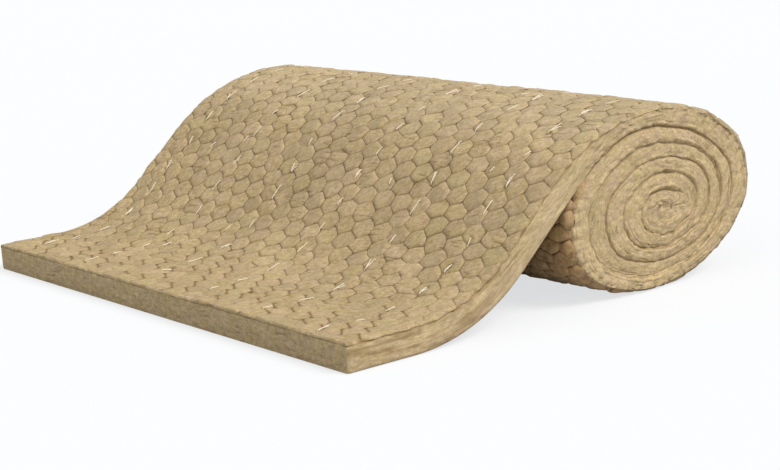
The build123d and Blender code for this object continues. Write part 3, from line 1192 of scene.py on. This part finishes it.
# Noises over the surface: scale, detail, roughness, distortion and a fourth coordinate
WOOL_NOISES = {
    "mottle": (180.0, 5.0, 0.7, 0.6), "patches": (16.0, 3.0, 0.55), "blush": (75.0, 2.0, 0.5, 0.5, 7.0),
    "spots": (55.0, 2.0, 0.5), "crumple": (290.0, 3.0, 0.6, 0.8, 5.0),
    "creased": (21.0, 2.0, 0.5, 0.4, 3.0)}
# Tints: what each follows, from where to where, how strong it gets and its colour. The first, on warmth past
# 1, is painted shade under the roll.
WOOL_TINTS = (
    ("warmth_and_shade", 1.0, 2.0, 0.75, (0.54, 0.315, 0.14, 1)), ("blush", 0.45, 0.65, 0.4, (0.58, 0.425, 0.29, 1)),
    ("blush", 0.5, 0.35, 0.35, (0.54, 0.43, 0.205, 1)), ("patches", 0.4, 0.7, 0.3, (0.56, 0.425, 0.275, 1)),
    ("cell", 0.55, 1.0, 0.28, (0.56, 0.41, 0.262, 1)), ("other cell", 0.6, 1.0, 0.3, (0.53, 0.43, 0.215, 1)),
    ("spots", 0.64, 0.76, 0.4, (0.46, 0.32, 0.11, 1)))


def wool_material():
    """Matt felted stone wool: streaky fibres and patches of tone, with painted shade in the creases, seams,
    wrinkle grooves and hollows, darker and redder under the roll, and proud places painted lighter.
    """
    nodes = Nodes("stone_wool", Roughness=0.95, Specular_IOR_Level=0.08, Sheen_Weight=0.05,
                  Sheen_Roughness=0.6)
    surface = nodes.attribute("surface").outputs["Vector"]
    painted_shade = nodes.attribute("painted_shade").outputs["Fac"]
    tile = nodes.parts(nodes.attribute("tile").outputs["Vector"])
    start = nodes.times(tile["X"], FIBRE_START)
    wander = nodes.times(nodes.math("SUBTRACT", tile["X"], 0.5), FIBRE_WANDER)
    looks = {name: nodes.noise(surface, *numbers) for name, numbers in WOOL_NOISES.items()}
    looks["warmth_and_shade"] = warmth_and_shade = nodes.attribute("warmth_and_shade").outputs["Fac"]
    looks["cell"], looks["other cell"] = tile["Y"], tile["Z"]
    streaks = nodes.noise(nodes.stretched(surface, *STREAKS, wander), 1.0, 6.0, 0.66, 0.6, start)
    crossing = nodes.noise(nodes.stretched(surface, *CROSSING, wander), 1.0, 5.0, 0.62, 0.9, start)
    fine = nodes.noise(nodes.stretched(surface, *FINE, wander), 1.0, 3.0, 0.7)
    wrinkles = nodes.noise(nodes.stretched(surface, *WRINKLES), 1.0, 3.0, 0.55, 0.8)

    fibre = nodes.plus(nodes.times(streaks, 0.68), nodes.times(crossing, 0.32))
    cool, warm = (nodes.mix(nodes.ramp(fibre, 0.36, 0.64), *pair) for pair in (COOL_FIBRES, WARM_FIBRES))
    colour = nodes.mix(nodes.ramp(warmth_and_shade, 0.0, 1.0), cool, warm)
    for name, low, high, strength, tint in WOOL_TINTS:
        colour = nodes.mix(nodes.ramp(looks[name], low, high, 0.0, strength), colour, tint)
    # Painted shade along the wrinkle grooves, which the bump also sinks
    wrinkle = nodes.times(nodes.ramp(wrinkles, 0.56, 0.68), nodes.ramp(looks["creased"], 0.49, 0.61))
    colour = nodes.mix(nodes.times(wrinkle, 0.65), colour, WRINKLE_SHADE_COLOUR)
    tone = nodes.ramp(tile["X"], 0.0, 1.0, 0.94, 1.05)
    grain = nodes.times(nodes.ramp(fine, 0.3, 0.7, 0.89, 1.09),
                        nodes.ramp(looks["mottle"], 0.34, 0.66, 0.87, 1.1),
                        nodes.ramp(looks["crumple"], 0.34, 0.5, 0.9, 1.02))
    # Painted light and shade: proud places lighter, sunk places darker
    painted_relief_light = nodes.ramp(nodes.parts(surface)["Z"], -1.2 * MM, 1.8 * MM, 0.93, 1.06)
    level = nodes.times(tone, grain, painted_relief_light)
    grey = nodes.add("ShaderNodeCombineColor", {"Red": level, "Green": level, "Blue": level})
    colour = nodes.mix(1.0, colour, grey.outputs[0], "MULTIPLY")
    # Painted shade in the creases, seams and hollows, darker where warmth passes 1 under the roll
    crease_shade_colour = nodes.mix(nodes.ramp(warmth_and_shade, 1.0, 2.0), *CREASE_SHADE_COLOURS)
    colour = nodes.mix(nodes.ramp(painted_shade, 0.05, 1.0, 0.0, CREASE_SHADE_STRENGTH), colour, crease_shade_colour)
    nodes.put(nodes.shader.inputs["Base Color"], colour)
    height = nodes.plus(fibre, nodes.times(fine, 0.3), nodes.times(looks["crumple"], 0.9))
    height = nodes.math("SUBTRACT", height, nodes.times(wrinkle, 0.5))
    bump = nodes.add("ShaderNodeBump", {"Height": height, "Strength": 0.7, "Distance": 0.9 * MM})
    nodes.put(nodes.shader.inputs["Normal"], bump.outputs[0])
    return nodes.material


def wire_material(name, light, dark, roughness):
    """A strand in two tones that change in patches, as the netting's wire and the thread have them."""
    nodes = Nodes(name, Metallic=0.0)
    place = nodes.add("ShaderNodeTexCoord").outputs["Object"]
    stain = nodes.noise(place, 90.0, 3.0, 0.6)
    nodes.put(nodes.shader.inputs["Base Color"], nodes.mix(nodes.ramp(stain, 0.35, 0.65), light, dark))
    nodes.put(nodes.shader.inputs["Roughness"], nodes.ramp(stain, 0.3, 0.7, roughness, roughness + 0.2))
    return nodes.material


# Stage, lamps and the photograph's view. A lamp has its place, strength, spread and colour.
FLOOR_WHITE = (0.965, 0.975, 0.992, 1)
FLOOR_GREY = (0.42, 0.42, 0.42, 1)
FLOOR_GLOW = 0.72
FLOOR_REACH = 12.0
FLOOR_GAP = 0.2 * MM
SKY_COLOUR = (0.98, 0.985, 1.0, 1)
SKY_STRENGTH = 0.45
LAMPS = {"key": ((0.25, -0.62, 0.75), 2.25, 30, (1.0, 0.985, 0.955)),
         "fill": ((-0.75, -0.45, 0.5), 0.46, 60, (1.0, 0.99, 0.97))}
EYE = (-1.0725, -1.5303, 0.4283)
HEADING = math.radians(36.057)
DIP = math.radians(12.112)
ROLL = math.radians(-4.406)
LENS = 92.308
SENSOR = 36.0


def add_thing(name, data):
    thing = bpy.data.objects.new(name, data)
    bpy.context.scene.collection.objects.link(thing)
    return thing


def pale_stage():
    """A pale floor that shows near white to the camera, keeps the shadow and bounces little light."""
    nodes = Nodes("pale_floor", Base_Color=FLOOR_GREY, Roughness=0.9)
    lit = nodes.add("ShaderNodeBsdfDiffuse", {"Color": FLOOR_WHITE})
    glow = nodes.add("ShaderNodeEmission", {"Color": FLOOR_WHITE, "Strength": 1.0})
    shown = nodes.add("ShaderNodeMixShader", {0: FLOOR_GLOW, 1: lit.outputs[0], 2: glow.outputs[0]})
    rays = nodes.add("ShaderNodeLightPath")
    seen = nodes.math("MAXIMUM", rays.outputs["Is Camera Ray"], rays.outputs["Is Glossy Ray"])
    both = nodes.add("ShaderNodeMixShader", {0: seen, 1: nodes.shader.outputs[0], 2: shown.outputs[0]})
    output = next(n for n in nodes.tree.nodes if n.type == "OUTPUT_MATERIAL")
    nodes.put(output.inputs["Surface"], both.outputs[0])
    mesh = bpy.data.meshes.new("floor")
    corners = [(x * FLOOR_REACH, y * FLOOR_REACH, LOW.z - FLOOR_GAP)
               for x, y in ((-1, -1), (1, -1), (1, 1), (-1, 1))]
    mesh.from_pydata(corners, [], [(0, 1, 2, 3)])
    mesh.materials.append(nodes.material)
    add_thing("floor", mesh)


def camera():
    """The photograph's view: heading from +Y towards +X, dip below level, and roll."""
    ahead = Vector((math.sin(HEADING), math.cos(HEADING), 0))
    forward = ahead * math.cos(DIP) - Vector((0, 0, math.sin(DIP)))
    level = Vector((math.cos(HEADING), -math.sin(HEADING), 0))
    upright = level.cross(forward)
    right = level * math.cos(ROLL) + upright * math.sin(ROLL)
    up = upright * math.cos(ROLL) - level * math.sin(ROLL)
    data = bpy.data.cameras.new("camera")
    data.sensor_width = SENSOR
    data.lens = LENS
    eye = add_thing("camera", data)
    turn = Matrix((right, up, -forward)).transposed().to_4x4()
    eye.matrix_world = Matrix.Translation(EYE) @ turn
    bpy.context.scene.camera = eye


def studio():
    """Two broad soft suns from the front and above, and an even pale sky."""
    for name, (source, strength, spread, tint) in LAMPS.items():
        data = bpy.data.lights.new(name, "SUN")
        data.energy = strength
        data.angle = math.radians(spread)
        data.color = tint
        lamp = add_thing(name, data)
        lamp.rotation_mode = "QUATERNION"
        lamp.rotation_quaternion = Vector(source).to_track_quat("Z", "Y")
    world = bpy.data.worlds.new("studio")
    world.use_nodes = True
    tree = world.node_tree
    sky, bright = tree.nodes["Background"], tree.nodes.new("ShaderNodeBackground")
    for shader, colour, strength in ((sky, SKY_COLOUR, SKY_STRENGTH), (bright, FLOOR_WHITE, 1.0)):
        shader.inputs["Color"].default_value = colour
        shader.inputs["Strength"].default_value = strength
    rays = tree.nodes.new("ShaderNodeLightPath")
    choose = tree.nodes.new("ShaderNodeMixShader")
    choices = rays.outputs["Is Camera Ray"], sky.outputs[0], bright.outputs[0]
    for socket, choice in zip(choose.inputs, choices):
        tree.links.new(choice, socket)
    tree.links.new(choose.outputs[0], tree.nodes["World Output"].inputs["Surface"])
    bpy.context.scene.world = world
    bpy.context.scene.view_settings.view_transform = "Standard"


def soft_piece(piece):
    """Hides the solid blanket, for which the padded wool pieces stand in; the piece passed in is not used.
    """
    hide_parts("wool_blanket")


blanket = Blanket()
lattice = Lattice(blanket)
stitching = Stitching(lattice.length)
wool = wool_material()
wire = wire_material("netting_wire", *WIRE_COLOURS, roughness=0.75)
thread = wire_material("stitching_thread", *THREAD_COLOURS, roughness=0.5)

quilt_points = []
stretches = (("free_end", 1, lattice.crest_row + 1), ("roll", lattice.crest_row + 1, lattice.rows + 1))
for stretch, first_row, last_row in stretches:
    face, its_points = netting_quilt(
        f"netting_face_{stretch}", blanket, lattice, stitching, first_row, last_row, wool)
    soft_piece(face)
    quilt_points.append(its_points)
    strands = netting_strands(blanket, lattice, stitching, first_row, last_row)
    tubes_piece(f"netting_wire_{stretch}", strands, WIRE_RADIUS, 4, wire)
near_edge, near_points = wool_edge("wool_edge_near", blanket, lattice, wool, near=True, seed=100)
far_edge, far_points = wool_edge("wool_edge_far", blanket, lattice, wool, near=False, seed=200)
soft_piece(near_edge)
soft_piece(far_edge)
soft_piece(plain_and_cut_faces(blanket, near_points, far_points, wool))
threads = thread_paths(blanket, stitching, np.vstack(quilt_points))
tubes_piece("stitches", threads, STITCH_RADIUS, 5, thread)

camera()
pale_stage()
studio()
